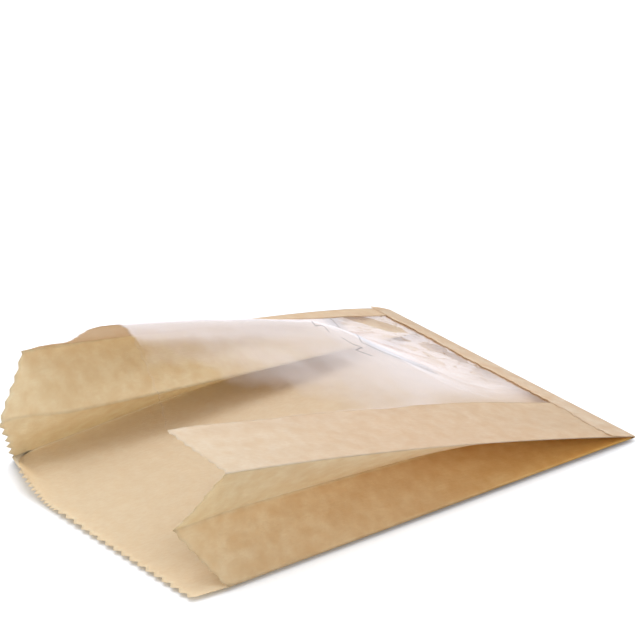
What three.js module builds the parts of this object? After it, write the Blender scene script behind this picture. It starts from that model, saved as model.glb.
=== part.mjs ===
// Window bakery bag: a gusseted kraft paper bag with a clear film window, lying on its back, mouth open.
// Millimetres, +Z up. X runs from the mouth to the closed end, Y from the near side fold to the far one.
import * as THREE from 'three';

// The flat bag
const PANEL_WIDTH = 215;
const FRONT_LENGTH = 279;
const LIP_LENGTH = 21;
const GUSSET_HALF = 38;
const STRIP_WIDTH = 54;
const FAR_STRIP_WIDTH = 13;
const GLUE_MARGIN = 9;
const FLAP_LENGTH = 11;
const TOOTH_PITCH = 7.2;
const TOOTH_DEPTH = 1.4;
const LIP_CORNER = 6;

// How far the mouth stands open: the side folds' height, and how far the far side is drawn in
const FOLD_HEIGHT = 64.5;
const FAR_FOLD_DRAW = 30;
const FAR_BASE_DRAW = 24;
const FAR_BASE_REACH = 4;
const CREASE_REACH = 20;

// The window's arch over the folds, and the lip's curl at the far side
const ARCH_RISE = 49;
const LIP_CURL = 12;
const LIP_CURL_START = 124;
const LIP_DRAW = 55;

// Shares of the bag's length or height that set how the open shape dies out toward the closed end
const NEAR_FOLD_BULGE = 0.26;
const FAR_FOLD_POWER = 0.8;
const ARCH_HELD_SHARE = 0.45;
const ARCH_FLAT_SHARE = 0.97;
const CREASE_SHARE = 0.48;
const CREASE_SAG_SHARE = 0.12;
const CREASE_SAG_END_SHARE = 0.7;
const FAR_TUCK_SHARE = 0.55;

// Sheet material
const PAPER_THICKNESS = 0.15;
const FILM_THICKNESS = 0.06;
const LAYER_GAP = 0.3;
const FOLD_RADIUS = 0.5;
const ROWS = 13;

// Heights of the flattened layers at the closed end, each at mid-thickness
const LAYER_STEP = PAPER_THICKNESS + LAYER_GAP;
const BACK_LEVEL = PAPER_THICKNESS / 2;
const FILM_ROOM = FILM_THICKNESS + LAYER_GAP;
const FRONT_LEVEL = BACK_LEVEL + 3 * LAYER_STEP + FILM_ROOM;
const FLAP_LEVEL = FRONT_LEVEL + LAYER_STEP;
const LAYERS_END = FRONT_LENGTH - FOLD_RADIUS;
const FLAP_START = FRONT_LENGTH - FLAP_LENGTH;

const clamp = (value, low, high) => Math.min(Math.max(value, low), high);
const mix = (a, b, t) => a + (b - a) * t;
const smooth = (low, high, value) => {
  const t = clamp((value - low) / (high - low), 0, 1);
  return t * t * (3 - 2 * t);
};

// The side folds fall almost straight to the closed end. The window's arch flattens before it.
const foldOpening = (x) => {
  const u = clamp(x / LAYERS_END, 0, 1);
  return (1 - u) * (1 + NEAR_FOLD_BULGE * u);
};
const farOpening = (x) => Math.pow(1 - clamp(x / LAYERS_END, 0, 1), FAR_FOLD_POWER);
const archOpening = (x) => {
  const u = clamp(x / LAYERS_END, 0, 1);
  return Math.sqrt(1 - u) * (1 - smooth(ARCH_HELD_SHARE, ARCH_FLAT_SHARE, u));
};

function nearTopFold(x) {
  return [0, FRONT_LEVEL - FILM_ROOM / 2 - LAYER_STEP / 2 + FOLD_HEIGHT * foldOpening(x)];
}

function farTopFold(x) {
  const y = PANEL_WIDTH - FAR_FOLD_DRAW * foldOpening(x);
  return [y, FRONT_LEVEL - FILM_ROOM / 2 - LAYER_STEP / 2 + FOLD_HEIGHT * farOpening(x)];
}

const nearBottomFold = () => [0, BACK_LEVEL + LAYER_STEP / 2];

const farBottomFold = (x) => [PANEL_WIDTH - FAR_BASE_DRAW * foldOpening(x), BACK_LEVEL + LAYER_STEP / 2];

// Each gusset folds inward along its middle, as far as its half width lets it.
function nearCrease(x) {
  const top = nearTopFold(x)[1];
  const bottom = nearBottomFold()[1];
  const sag = CREASE_SAG_SHARE * smooth(0, FRONT_LENGTH * CREASE_SAG_END_SHARE, x) * foldOpening(x);
  const z = mix(bottom, top, CREASE_SHARE - sag);
  const half = Math.max(z - bottom, (top - bottom) / 2);
  return [Math.sqrt(GUSSET_HALF ** 2 - half ** 2), z];
}

// The far gusset does the same, and relaxes a little at the mouth.
function farCrease(x) {
  const [topY, topZ] = farTopFold(x);
  const [baseY, baseZ] = farBottomFold(x);
  const half = (topZ - baseZ) / 2;
  const tuck = Math.sqrt(GUSSET_HALF ** 2 - half ** 2);
  const relaxed = mix(FAR_TUCK_SHARE, 1, smooth(-CREASE_REACH, CREASE_REACH, x));
  return [(topY + baseY) / 2 - tuck * relaxed, mix(baseZ, topZ, CREASE_SHARE)];
}

// Points across the arched front panel at the mouth: how far along the paper and how far to the side, both as
// shares of its width, and how high, as a share of the arch's rise.
const ARCH_KNOTS = [
  { along: 0, y: 0, rise: 0 },
  { along: 0.25, y: 0.238, rise: 0.07 },
  { along: 0.335, y: 0.265, rise: 0.41 },
  { along: 0.39, y: 0.3, rise: 0.61 },
  { along: 0.44, y: 0.335, rise: 0.77 },
  { along: 0.49, y: 0.37, rise: 0.91 },
  { along: 0.555, y: 0.427, rise: 1 },
  { along: 0.645, y: 0.512, rise: 0.86 },
  { along: 0.75, y: 0.6, rise: 0.61 },
  { along: 0.86, y: 0.69, rise: 0.36 },
  { along: 1, y: 0.86, rise: 0 },
];

function archKnot(knot, x) {
  const fold = foldOpening(x);
  const arch = archOpening(x);
  const near = nearTopFold(x)[1];
  const far = farTopFold(x)[1];
  const level = LAYER_STEP / 2 + FILM_ROOM / 2;
  const draw = (knot.along - knot.y) * PANEL_WIDTH * fold;
  const z = mix(near, far, knot.along) + level + knot.rise * ARCH_RISE * arch;
  return [knot.along * PANEL_WIDTH - draw, z];
}

// A smooth line through the knots, which keeps a soft ridge where the strip's edge meets the film.
function frontPoint(along, x) {
  const share = clamp(along / PANEL_WIDTH, 0, 1);
  let i = 1;
  while (i < ARCH_KNOTS.length - 1 && ARCH_KNOTS[i].along < share) {
    i += 1;
  }
  const left = ARCH_KNOTS[i - 1];
  const right = ARCH_KNOTS[i];
  const before = i >= 3 ? ARCH_KNOTS[i - 2] : left;
  const after = i >= 2 && i < ARCH_KNOTS.length - 1 ? ARCH_KNOTS[i + 1] : right;
  const t = (share - left.along) / (right.along - left.along);
  const points = [before, left, right, after].map((knot) => archKnot(knot, x));
  const startSpan = before === left ? 1 : (right.along - left.along) / (right.along - before.along);
  const endSpan = after === right ? 1 : (right.along - left.along) / (after.along - left.along);
  return [0, 1].map((k) => {
    const [p, a, b, q] = points.map((point) => point[k]);
    const start = (b - p) * startSpan;
    const end = (q - a) * endSpan;
    const t2 = t * t;
    const t3 = t2 * t;
    return (2 * t3 - 3 * t2 + 1) * a + (t3 - 2 * t2 + t) * start + (3 * t2 - 2 * t3) * b + (t3 - t2) * end;
  });
}

// The three points of a fold: the end of one panel, the fold's back and the start of the next panel.
// The upper panel ends above the lower one by the layers between them.
function foldPoint(fold, index, x, spread, inward) {
  const [y, z] = fold(x);
  if (index === 1) {
    return [y, z];
  }
  return [y + inward * FOLD_RADIUS, z + (index === 0 ? spread / 2 : -spread / 2)];
}

const between = (start, end, t) => (x) => {
  const [y0, z0] = start(x);
  const [y1, z1] = end(x);
  return [mix(y0, y1, t), mix(z0, z1, t)];
};

// The back panel lies flat. Toward the far side its lip curls up and inward.
function backPoint(t, x) {
  const end = farBottomFold(x)[0] - FOLD_RADIUS;
  const curl = clamp((-FAR_BASE_REACH - x) / (LIP_LENGTH - FAR_BASE_REACH), 0, 1);
  const flat = mix(FOLD_RADIUS, PANEL_WIDTH - FOLD_RADIUS, t);
  const past = Math.max((flat - LIP_CURL_START) / (PANEL_WIDTH - FOLD_RADIUS - LIP_CURL_START), 0);
  const reach = end - (LIP_DRAW - FAR_BASE_DRAW) * curl - LIP_CURL_START;
  const y = past > 0 ? LIP_CURL_START + past * reach : flat;
  return [y, BACK_LEVEL + LIP_CURL * curl * past * past];
}

// Columns of the paper web, in order from the near strip's window edge round to the far strip's window edge.
// For a column, place gives its side position and height at a distance x from the front cut, mouth is the x
// where it starts, and tooth says that a tooth stands between it and the next.
const teethIn = (length) => Math.max(Math.round(length / TOOTH_PITCH), 2);
const columns = [];
const addColumn = (place, mouth, tooth, back = false) => columns.push({ place, mouth, tooth, back });

const topSpread = LAYER_STEP + FILM_ROOM;
const nearTop = (i) => (x) => foldPoint(nearTopFold, i, x, topSpread, 1);
const farTop = (i) => (x) => foldPoint(farTopFold, i, x, topSpread, -1);
const nearBase = (i) => (x) => foldPoint(nearBottomFold, i, x, LAYER_STEP, 1);
const farBase = (i) => (x) => foldPoint(farBottomFold, i, x, LAYER_STEP, -1);
const nearMid = (i) => (x) => foldPoint(nearCrease, i, x, LAYER_STEP, -1);
const farMid = (i) => (x) => foldPoint(farCrease, i, x, LAYER_STEP, 1);

const stripTeeth = teethIn(STRIP_WIDTH);
const farStripTeeth = teethIn(FAR_STRIP_WIDTH);
const gussetTeeth = teethIn(GUSSET_HALF);
const backTeeth = teethIn(PANEL_WIDTH);
const FOLD_MARGIN = FOLD_RADIUS * 2;
const nearStrip = (step) => mix(FOLD_MARGIN, STRIP_WIDTH, step / stripTeeth);
const farStrip = (step) => PANEL_WIDTH - mix(FOLD_MARGIN, FAR_STRIP_WIDTH, step / farStripTeeth);
for (let i = stripTeeth; i > 0; i -= 1) {
  addColumn((x) => frontPoint(nearStrip(i), x), 0, true);
}
addColumn(nearTop(0), 0, false);
addColumn(nearTop(1), 0, false);
addColumn(nearTop(2), 0, true);
for (let i = 1; i < gussetTeeth; i += 1) {
  const t = i / gussetTeeth;
  addColumn(between(nearTop(2), nearMid(0), t), -CREASE_REACH * t, true);
}
addColumn(nearMid(0), -CREASE_REACH, false);
addColumn(nearMid(1), -CREASE_REACH, false);
addColumn(nearMid(2), -CREASE_REACH, true);
for (let i = 1; i < gussetTeeth; i += 1) {
  const t = i / gussetTeeth;
  addColumn(between(nearMid(2), nearBase(0), t), -CREASE_REACH * (1 - t), true);
}
addColumn(nearBase(0), 0, false);
addColumn(nearBase(1), 0, false);

// The lip's corners are rounded.
const lipAt = (y) => {
  const side = Math.min(y, PANEL_WIDTH - y);
  const inCorner = clamp(1 - side / LIP_CORNER, 0, 1);
  return -(LIP_LENGTH - LIP_CORNER * (1 - Math.sqrt(1 - inCorner ** 2)));
};
for (let i = 0; i <= backTeeth; i += 1) {
  const t = i / backTeeth;
  const last = i === backTeeth;
  const mouth = last ? -FAR_BASE_REACH : lipAt(Math.max(t * PANEL_WIDTH, FOLD_MARGIN));
  addColumn((x) => backPoint(t, x), mouth, i < backTeeth - 1, true);
}
addColumn(farBase(1), -FAR_BASE_REACH, false);
addColumn(farBase(0), -FAR_BASE_REACH, true);
for (let i = 1; i < gussetTeeth; i += 1) {
  const t = i / gussetTeeth;
  addColumn(between(farBase(0), farMid(2), t), -mix(FAR_BASE_REACH, CREASE_REACH, t), true);
}
addColumn(farMid(2), -CREASE_REACH, false);
addColumn(farMid(1), -CREASE_REACH, false);
addColumn(farMid(0), -CREASE_REACH, true);
for (let i = 1; i < gussetTeeth; i += 1) {
  const t = i / gussetTeeth;
  addColumn(between(farMid(0), farTop(2), t), -CREASE_REACH * (1 - t), true);
}
addColumn(farTop(2), 0, false);
addColumn(farTop(1), 0, false);
addColumn(farTop(0), 0, true);
for (let i = 1; i <= farStripTeeth; i += 1) {
  addColumn((x) => frontPoint(farStrip(i), x), 0, i < farStripTeeth);
}

// A sheet is a mid-surface of points and triangles. Thickened, it becomes one closed shell.
class Sheet {
  constructor() {
    this.points = [];
    this.faces = [];
  }

  point(x, y, z) {
    this.points.push(new THREE.Vector3(x, y, z));
    return this.points.length - 1;
  }

  quad(a, b, c, d) {
    this.faces.push([a, b, c], [a, c, d]);
  }

  // A tooth stands out from the edge between two points, and its tip can be lifted.
  tooth(a, b, lift = 0) {
    const tip = this.points[a].clone().lerp(this.points[b], 0.5);
    const index = this.point(tip.x - TOOTH_DEPTH, tip.y, tip.z + lift);
    this.faces.push([a, b, index]);
  }

  normals() {
    const normals = this.points.map(() => new THREE.Vector3());
    for (const face of this.faces) {
      const [a, b, c] = face.map((i) => this.points[i]);
      const ab = new THREE.Vector3().subVectors(b, a);
      const ac = new THREE.Vector3().subVectors(c, a);
      const normal = ab.clone().cross(ac).normalize();
      const bc = new THREE.Vector3().subVectors(c, b);
      const corners = [ab.angleTo(ac), ab.clone().negate().angleTo(bc), ac.angleTo(bc)];
      face.forEach((i, k) => normals[i].addScaledVector(normal, corners[k]));
    }
    return normals.map((normal) => normal.normalize());
  }

  thicken(thickness) {
    const normals = this.normals();
    const count = this.points.length;
    const positions = [];
    for (const side of [0.5, -0.5]) {
      this.points.forEach((point, i) => {
        const moved = point.clone().addScaledVector(normals[i], side * thickness);
        positions.push(moved.x, moved.y, moved.z);
      });
    }
    const edges = new Set();
    const index = [];
    for (const [a, b, c] of this.faces) {
      index.push(a, b, c, c + count, b + count, a + count);
      [[a, b], [b, c], [c, a]].forEach(([from, to]) => edges.add(from + ',' + to));
    }
    for (const edge of edges) {
      const [from, to] = edge.split(',').map(Number);
      if (!edges.has(to + ',' + from)) {
        index.push(to, from, from + count, to, from + count, to + count);
      }
    }
    const geometry = new THREE.BufferGeometry();
    geometry.setAttribute('position', new THREE.Float32BufferAttribute(positions, 3));
    geometry.setIndex(index);
    geometry.computeVertexNormals();
    return geometry;
  }
}

// Rows run from the mouth's edge to the flap's edge, and the last one is at the closed end.
const rowAt = (start, end, row) => (row === ROWS - 1 ? end : mix(start, FLAP_START, row / (ROWS - 2)));

// Paper web
const paper = new Sheet();
const grid = columns.map((column) => {
  const end = column.back ? FRONT_LENGTH : LAYERS_END;
  return Array.from({ length: ROWS }, (_, row) => {
    const x = rowAt(column.mouth, end, row);
    const [y, z] = column.place(x);
    return paper.point(x, y, z);
  });
});
for (let c = 0; c + 1 < columns.length; c += 1) {
  for (let row = 0; row + 1 < ROWS; row += 1) {
    paper.quad(grid[c][row], grid[c][row + 1], grid[c + 1][row + 1], grid[c + 1][row]);
  }
  if (columns[c].tooth) {
    paper.tooth(grid[c][0], grid[c + 1][0]);
  }
}

// At the closed end the back panel turns up and over the front as a serrated flap.
const TURN_STEPS = 4;
const turnRadius = (FLAP_LEVEL - BACK_LEVEL) / 2;
const flapColumns = columns.flatMap((column, c) => (column.back ? [c] : []));
const flap = flapColumns.map((c) => {
  const line = [grid[c][ROWS - 1]];
  const y = columns[c].place(FRONT_LENGTH)[0];
  for (let i = 1; i <= TURN_STEPS; i += 1) {
    const angle = (Math.PI * i) / TURN_STEPS;
    line.push(paper.point(
      FRONT_LENGTH + turnRadius * Math.sin(angle),
      y,
      BACK_LEVEL + turnRadius * (1 - Math.cos(angle)),
    ));
  }
  line.push(paper.point(FLAP_START, y, frontPoint(y, FLAP_START)[1] + LAYER_STEP));
  return line;
});
for (let c = 0; c + 1 < flap.length; c += 1) {
  for (let row = 0; row + 1 < flap[c].length; row += 1) {
    paper.quad(flap[c][row], flap[c][row + 1], flap[c + 1][row + 1], flap[c + 1][row]);
  }
  const last = flap[c].length - 1;
  const y = paper.points[flap[c][last]].y;
  const lift = frontPoint(y, FLAP_START - TOOTH_DEPTH)[1] - frontPoint(y, FLAP_START)[1];
  paper.tooth(flap[c + 1][last], flap[c][last], lift);
}

// Window film. Its two margins lie under the strips, on the strips' own lines, and its middle is the arch.
const film = new Sheet();
const FILM_OFFSET = (PAPER_THICKNESS + FILM_THICKNESS) / 2 + LAYER_GAP;
function marginLines(strip, teeth, width) {
  const start = teeth - (GLUE_MARGIN * teeth) / width;
  const low = Math.floor(start);
  const lineAt = (step) => (x) => frontPoint(strip(step), x);
  const lines = [between(lineAt(low), lineAt(low + 1), start - low)];
  for (let step = low + 1; step <= teeth; step += 1) {
    lines.push(lineAt(step));
  }
  return lines;
}
const windowWidth = PANEL_WIDTH - STRIP_WIDTH - FAR_STRIP_WIDTH;
const windowTeeth = teethIn(windowWidth);
const filmLines = marginLines(nearStrip, stripTeeth, STRIP_WIDTH);
for (let i = 1; i < windowTeeth; i += 1) {
  filmLines.push((x) => frontPoint(STRIP_WIDTH + (windowWidth * i) / windowTeeth, x));
}
filmLines.push(...marginLines(farStrip, farStripTeeth, FAR_STRIP_WIDTH).reverse());
const filmTeeth = filmLines.length - 1;
const filmGrid = filmLines.map((line, i) => {
  return Array.from({ length: ROWS }, (_, row) => {
    const x = rowAt(0, LAYERS_END, row);
    const [y, z] = line(x);
    const [y0, z0] = filmLines[Math.max(i - 1, 0)](x);
    const [y1, z1] = filmLines[Math.min(i + 1, filmTeeth)](x);
    const length = Math.hypot(y1 - y0, z1 - z0);
    return film.point(x, y + ((z1 - z0) / length) * FILM_OFFSET, z - ((y1 - y0) / length) * FILM_OFFSET);
  });
});
for (let c = 0; c < filmTeeth; c += 1) {
  for (let row = 0; row + 1 < ROWS; row += 1) {
    film.quad(filmGrid[c + 1][row], filmGrid[c + 1][row + 1], filmGrid[c][row + 1], filmGrid[c][row]);
  }
  film.tooth(filmGrid[c + 1][0], filmGrid[c][0]);
}

const paperGeometry = paper.thicken(PAPER_THICKNESS);
const filmGeometry = film.thicken(FILM_THICKNESS);

// The origin is the middle of the footprint, at table height.
paperGeometry.computeBoundingBox();
const box = paperGeometry.boundingBox;
const shift = [-(box.min.x + box.max.x) / 2, -(box.min.y + box.max.y) / 2, -box.min.z];
const group = new THREE.Group();
const kraft = new THREE.MeshStandardMaterial({ color: 0xdcc3a0, roughness: 0.85 });
const clear = new THREE.MeshStandardMaterial({ color: 0xf0ece8, roughness: 0.15, transparent: true });
clear.opacity = 0.35;
for (const [name, geometry, material] of [
  ['kraft_paper_body', paperGeometry, kraft],
  ['window_film', filmGeometry, clear],
]) {
  geometry.translate(...shift);
  const mesh = new THREE.Mesh(geometry, material);
  mesh.name = name;
  group.add(mesh);
}

export default group;
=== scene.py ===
# %% [markdown]
# # A window bakery bag
# The real thing is one web of kraft paper, folded into a flat bag with two gussets, and one clear film
# glued behind the opening in its front. Here it lies on its back and stands open at the mouth. Each is one
# sheet, so each is one object here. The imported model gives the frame: both are laid out in its place and at
# its size.

# %% Load the frame
import math
import bmesh
import bpy
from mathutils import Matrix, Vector, noise


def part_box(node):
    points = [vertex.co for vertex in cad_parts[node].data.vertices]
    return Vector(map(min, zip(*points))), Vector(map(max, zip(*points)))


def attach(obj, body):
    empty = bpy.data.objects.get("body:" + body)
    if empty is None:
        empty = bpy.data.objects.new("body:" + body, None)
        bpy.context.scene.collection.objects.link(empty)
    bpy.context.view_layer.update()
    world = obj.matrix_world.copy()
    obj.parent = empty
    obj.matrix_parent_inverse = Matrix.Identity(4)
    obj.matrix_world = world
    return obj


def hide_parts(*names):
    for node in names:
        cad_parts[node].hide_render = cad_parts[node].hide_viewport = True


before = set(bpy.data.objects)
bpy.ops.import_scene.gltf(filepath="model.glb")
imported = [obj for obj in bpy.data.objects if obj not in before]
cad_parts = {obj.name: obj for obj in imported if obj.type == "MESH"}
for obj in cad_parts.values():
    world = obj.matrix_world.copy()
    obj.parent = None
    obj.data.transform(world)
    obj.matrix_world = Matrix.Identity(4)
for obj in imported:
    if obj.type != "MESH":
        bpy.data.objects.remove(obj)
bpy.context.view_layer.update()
print("solids:", sorted(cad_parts))

# %% [markdown]
# ## The flat bag
# A paper bag is cut and glued flat, so its sizes are those of the flat bag. One could model the open shape
# directly, but a sheet that is planned flat has its folds where the machine puts them, and panels very near
# their real width. Lengths are in metres. The web is measured across, from the window edge of the near strip,
# round the back, to the far strip's edge.

# %% Sizes of the flat bag
PANEL_WIDTH = 0.215
FRONT_LENGTH = 0.279
LIP_LENGTH = 0.021
GUSSET_HALF = 0.038
STRIP_WIDTH = 0.054
FAR_STRIP_WIDTH = 0.013
GLUE_MARGIN = 0.009
FLAP_LENGTH = 0.011
TOOTH_DEPTH = 0.0014
LIP_TOOTH_DEPTH = 0.0028
LIP_CORNER = 0.006
WEB_WIDTH = STRIP_WIDTH + 4 * GUSSET_HALF + PANEL_WIDTH + FAR_STRIP_WIDTH
print("web", round(WEB_WIDTH, 3), "m across, front", FRONT_LENGTH, "m long")

# %% [markdown]
# ## Layers at the closed end
# At the closed end every layer lies on the one below it. Real sheets touch, but surfaces that share a place
# flicker in a render, so each layer gets its own height: back, two gusset layers, film, front and flap.

# %% Heights of the layers
PAPER_THICKNESS = 0.00015
FILM_THICKNESS = 0.00006
LAYER_GAP = 0.0001
FOLD_RADIUS = 0.0005
LAYER_STEP = PAPER_THICKNESS + LAYER_GAP
FILM_ROOM = FILM_THICKNESS + LAYER_GAP
BACK_LEVEL = PAPER_THICKNESS / 2
FRONT_LEVEL = BACK_LEVEL + 3 * LAYER_STEP + FILM_ROOM
FLAP_LEVEL = FRONT_LEVEL + LAYER_STEP
LAYERS_END = FRONT_LENGTH - FOLD_RADIUS
FLAP_START = FRONT_LENGTH - FLAP_LENGTH

low_corner, high_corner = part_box("kraft_paper_body")
FRONT_CUT = low_corner[0] + LIP_LENGTH + TOOTH_DEPTH
NEAR_SIDE = (low_corner[1] + high_corner[1] - PANEL_WIDTH) / 2
print("front cut at x =", round(FRONT_CUT, 4), "near side at y =", round(NEAR_SIDE, 4))

# %% [markdown]
# ## How far the mouth stands open
# A bag that has been used keeps standing open: high at the mouth, flat at the closed end. A curve for each
# side says how open it is at a distance x from the front cut. A cloth simulation could puff the bag up as
# well, but it would not stop at the shape in the photo.

# %% Opening of the two sides and the arch
FOLD_HEIGHT = 0.0645
FAR_FOLD_DRAW = 0.030
FAR_BASE_DRAW = 0.024
FAR_BASE_REACH = 0.004
ARCH_RISE = 0.049
CREASE_REACH = 0.020
NEAR_FOLD_BULGE = 0.26
FAR_FOLD_POWER = 0.8
ARCH_HELD_SHARE = 0.45
ARCH_FLAT_SHARE = 0.97


def clamp(value, low=0.0, high=1.0):
    return min(max(value, low), high)


def mix(a, b, t):
    return a + (b - a) * t


def smooth(low, high, value):
    """0 before low, 1 after high, and an even S between them."""
    t = clamp((value - low) / (high - low))
    return t * t * (3 - 2 * t)


def fold_opening(x):
    u = clamp(x / LAYERS_END)
    return (1 - u) * (1 + NEAR_FOLD_BULGE * u)


def far_opening(x):
    return (1 - clamp(x / LAYERS_END)) ** FAR_FOLD_POWER


def arch_opening(x):
    u = clamp(x / LAYERS_END)
    return math.sqrt(1 - u) * (1 - smooth(ARCH_HELD_SHARE, ARCH_FLAT_SHARE, u))


print("fold height half way along:", round(FOLD_HEIGHT * fold_opening(FRONT_LENGTH / 2), 4))

# %% [markdown]
# ## Folds
# Six folds run the length of the bag. Each is a function that gives its side position and height at x. The
# near side keeps its place and the far side draws in, because a bag that opens grows narrower. Each gusset
# folds inward along its crease, as far as its half width lets it: that is one side of a right triangle.
# A creased edge never lies quite flat either, so the lower folds spring a little way up off the table.

# %% The six folds
TOP_LEVEL = FRONT_LEVEL - FILM_ROOM / 2 - LAYER_STEP / 2
BASE_LEVEL = BACK_LEVEL + LAYER_STEP / 2
CREASE_SHARE = 0.48
CREASE_SAG_SHARE = 0.12
CREASE_SAG_END_SHARE = 0.7
FAR_TUCK_SHARE = 0.55
EDGE_SPRING = 0.0003
SPRING_GONE_SHARE = 0.12


def near_top(x):
    return 0.0, TOP_LEVEL + FOLD_HEIGHT * fold_opening(x)


def far_top(x):
    return PANEL_WIDTH - FAR_FOLD_DRAW * fold_opening(x), TOP_LEVEL + FOLD_HEIGHT * far_opening(x)


def base_spring(x):
    return EDGE_SPRING * smooth(0, SPRING_GONE_SHARE, fold_opening(x))


def near_base(x):
    return 0.0, BASE_LEVEL + base_spring(x)


def far_base(x):
    return PANEL_WIDTH - FAR_BASE_DRAW * fold_opening(x), BASE_LEVEL + base_spring(x)


def near_crease(x):
    sag = CREASE_SAG_SHARE * smooth(0, FRONT_LENGTH * CREASE_SAG_END_SHARE, x) * fold_opening(x)
    z = mix(BASE_LEVEL, near_top(x)[1], CREASE_SHARE - sag)
    half = max(z - BASE_LEVEL, (near_top(x)[1] - BASE_LEVEL) / 2)
    return math.sqrt(GUSSET_HALF**2 - half**2), z


def far_crease(x):
    (top_y, top_z), (base_y, base_z) = far_top(x), far_base(x)
    half = (top_z - base_z) / 2
    tuck = math.sqrt(GUSSET_HALF**2 - half**2)
    relaxed = mix(FAR_TUCK_SHARE, 1, smooth(-CREASE_REACH, CREASE_REACH, x))
    return (top_y + base_y) / 2 - tuck * relaxed, mix(base_z, top_z, CREASE_SHARE)


print("near crease at the mouth:", [round(v, 4) for v in near_crease(0)])

# %% [markdown]
# ## The arched front
# The window stands up in an arch, and the near strip stays nearly flat. A line through a few knots gives the
# arch at the mouth: how far along the panel, how far across, and how high as a share of the rise. A smooth
# curve runs through the knots, with a sharp corner only where the near strip ends, as in the photo. The
# knots' places were read off the photo, turned into lengths with the camera that stands at the end of this
# file, and rounded.

# %% The front panel's cross-section
ARCH_KNOTS = [
    (0, 0, 0),
    (0.25, 0.238, 0.07),
    (0.335, 0.265, 0.41),
    (0.39, 0.3, 0.61),
    (0.44, 0.335, 0.77),
    (0.49, 0.37, 0.91),
    (0.555, 0.427, 1),
    (0.645, 0.512, 0.86),
    (0.75, 0.6, 0.61),
    (0.86, 0.69, 0.36),
    (1, 0.86, 0),
]


def arch_knot(knot, x):
    along, y, rise = knot
    draw = (along - y) * PANEL_WIDTH * fold_opening(x)
    level = (LAYER_STEP + FILM_ROOM) / 2
    z = mix(near_top(x)[1], far_top(x)[1], along) + level + rise * ARCH_RISE * arch_opening(x)
    return along * PANEL_WIDTH - draw, z


def front_point(along, x):
    """Side position and height of the front panel, at a length along it from the near fold."""
    share = clamp(along / PANEL_WIDTH)
    i = 1
    while i < len(ARCH_KNOTS) - 1 and ARCH_KNOTS[i][0] < share:
        i += 1
    left, right = ARCH_KNOTS[i - 1], ARCH_KNOTS[i]
    before = ARCH_KNOTS[i - 2] if i >= 3 else left
    after = ARCH_KNOTS[i + 1] if 2 <= i < len(ARCH_KNOTS) - 1 else right
    span = right[0] - left[0]
    t = (share - left[0]) / span
    start_span = span / (right[0] - before[0]) if before != left else 1
    end_span = span / (after[0] - left[0]) if after != right else 1
    p, a, b, q = (arch_knot(knot, x) for knot in (before, left, right, after))
    t2, t3 = t * t, t * t * t
    weights = (2 * t3 - 3 * t2 + 1, t3 - 2 * t2 + t, 3 * t2 - 2 * t3, t3 - t2)
    return tuple(
        weights[0] * a[k] + weights[1] * (b[k] - p[k]) * start_span
        + weights[2] * b[k] + weights[3] * (q[k] - a[k]) * end_span
        for k in (0, 1)
    )


top_knot = max(ARCH_KNOTS, key=lambda knot: knot[2])
print("arch at the mouth:", [round(v, 4) for v in front_point(top_knot[0] * PANEL_WIDTH, 0)])

# %% [markdown]
# ## Crumple
# Handled paper is never flat: it has long soft waves along the bag and small dents. Noise moves each point
# by up to a millimetre or two. Three sizes of noise are added, each weaker than the one before, because one
# size alone looks like a pattern. The crumple dies out toward the closed end, where the layers are pressed
# together.

# %% Waves and dents
# Each size of noise: its length along the bag, its width across, its weight, and its step from the seed
CRUMPLE_SIZES = ((0.09, 0.03, 1, 0), (0.03, 0.018, 0.45, 5), (0.012, 0.008, 0.15, 9))
CRUMPLE_HELD_SHARE = 0.35
FRONT_CRUMPLE = 0.0016
FRONT_SEED = 7.1
FOLD_HOLD = 0.01


def wave(along, x, seed, length, width):
    """Noise from -1 to 1, drawn out along the bag."""
    return noise.noise(Vector((x / length + seed, along / width, seed * 0.7)))


def crumple(along, x, seed, height):
    held = smooth(0, CRUMPLE_HELD_SHARE, fold_opening(x))
    total = 0
    for length, width, weight, step in CRUMPLE_SIZES:
        total += weight * wave(along, x, seed + step, length, width)
    return height * held * total


def front_surface(along, x):
    """The front panel with its crumple, for the strips and for the film glued under them."""
    y, z = front_point(along, x)
    free = clamp(min(along, PANEL_WIDTH - along) / FOLD_HOLD)
    return y, z + free * crumple(along, x, FRONT_SEED, FRONT_CRUMPLE)


for share in (0, 0.5, 1):
    middle = front_surface(PANEL_WIDTH / 2, share * FRONT_LENGTH)
    print("window's middle at", share, "of the length:", round(middle[1], 4), "m high")

# %% [markdown]
# ## The back panel and its lip
# The bag lies on its back panel, which runs 21 mm past the mouth as a lip. On the far side the lip curls up
# a little, where the paper turns into the gusset. Its cut edge lifts by 0.6 mm, so that a shadow shows under
# it. Its crumple only ever lifts it, because the table is below.

# %% The back panel
LIP_CURL = 0.012
LIP_CURL_START = 0.124
LIP_DRAW = 0.055
LIP_SPRING = 0.0006
SPRING_WIDTH = 0.018
BACK_CRUMPLE = 0.0012
BACK_SEED = 2.3


def back_point(along, x):
    end = far_base(x)[0] - FOLD_RADIUS
    curl = clamp((-FAR_BASE_REACH - x) / (LIP_LENGTH - FAR_BASE_REACH))
    flat = clamp(along, FOLD_RADIUS, PANEL_WIDTH - FOLD_RADIUS)
    past = max((flat - LIP_CURL_START) / (PANEL_WIDTH - FOLD_RADIUS - LIP_CURL_START), 0)
    reach = end - (LIP_DRAW - FAR_BASE_DRAW) * curl - LIP_CURL_START
    y = LIP_CURL_START + past * reach if past > 0 else flat
    edge = smooth(SPRING_WIDTH, 0, min(along, PANEL_WIDTH - along))
    cut = smooth(-FAR_BASE_REACH, -LIP_LENGTH, x)
    bumps = max(crumple(along, x, BACK_SEED, BACK_CRUMPLE), 0)
    lift = bumps + base_spring(x) * edge + LIP_SPRING * cut
    return y, BACK_LEVEL + LIP_CURL * curl * past * past + lift


print("lip's far corner:", [round(v, 4) for v in back_point(PANEL_WIDTH, -LIP_LENGTH)])

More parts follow.
